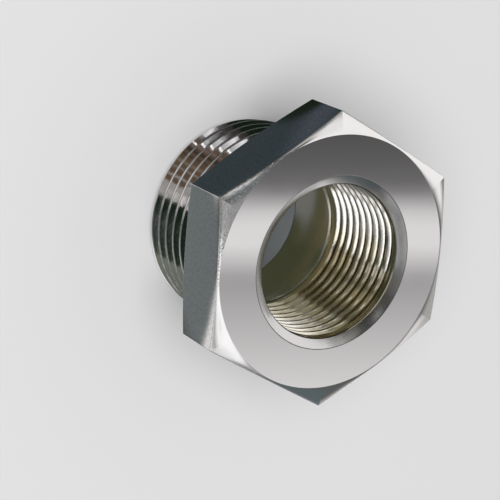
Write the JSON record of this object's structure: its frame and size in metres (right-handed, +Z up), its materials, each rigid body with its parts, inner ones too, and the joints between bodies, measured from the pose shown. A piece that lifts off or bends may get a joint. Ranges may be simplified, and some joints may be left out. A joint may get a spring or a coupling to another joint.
{
  "type": "hex bushing",
  "caption": "Turned hex reducing bushing: a male threaded spigot under a hexagon head, with a smaller female thread and a plain bore right through it.",
  "frame": {"origin": "centre of the spigot's flat end face, on which the bushing stands", "axes": "+Z up along the bore, out of the tapped mouth in the head; +X through two corners of the hexagon; +Y out of one of its flats"},
  "size_m": [0.0474, 0.041, 0.0298],
  "materials": {
    "nickel_plate": "bright nickel plate over turned brass"
  },
  "bodies": {
    "root": {"hex_bushing": "nickel_plate"}
  },
  "joints": []
}
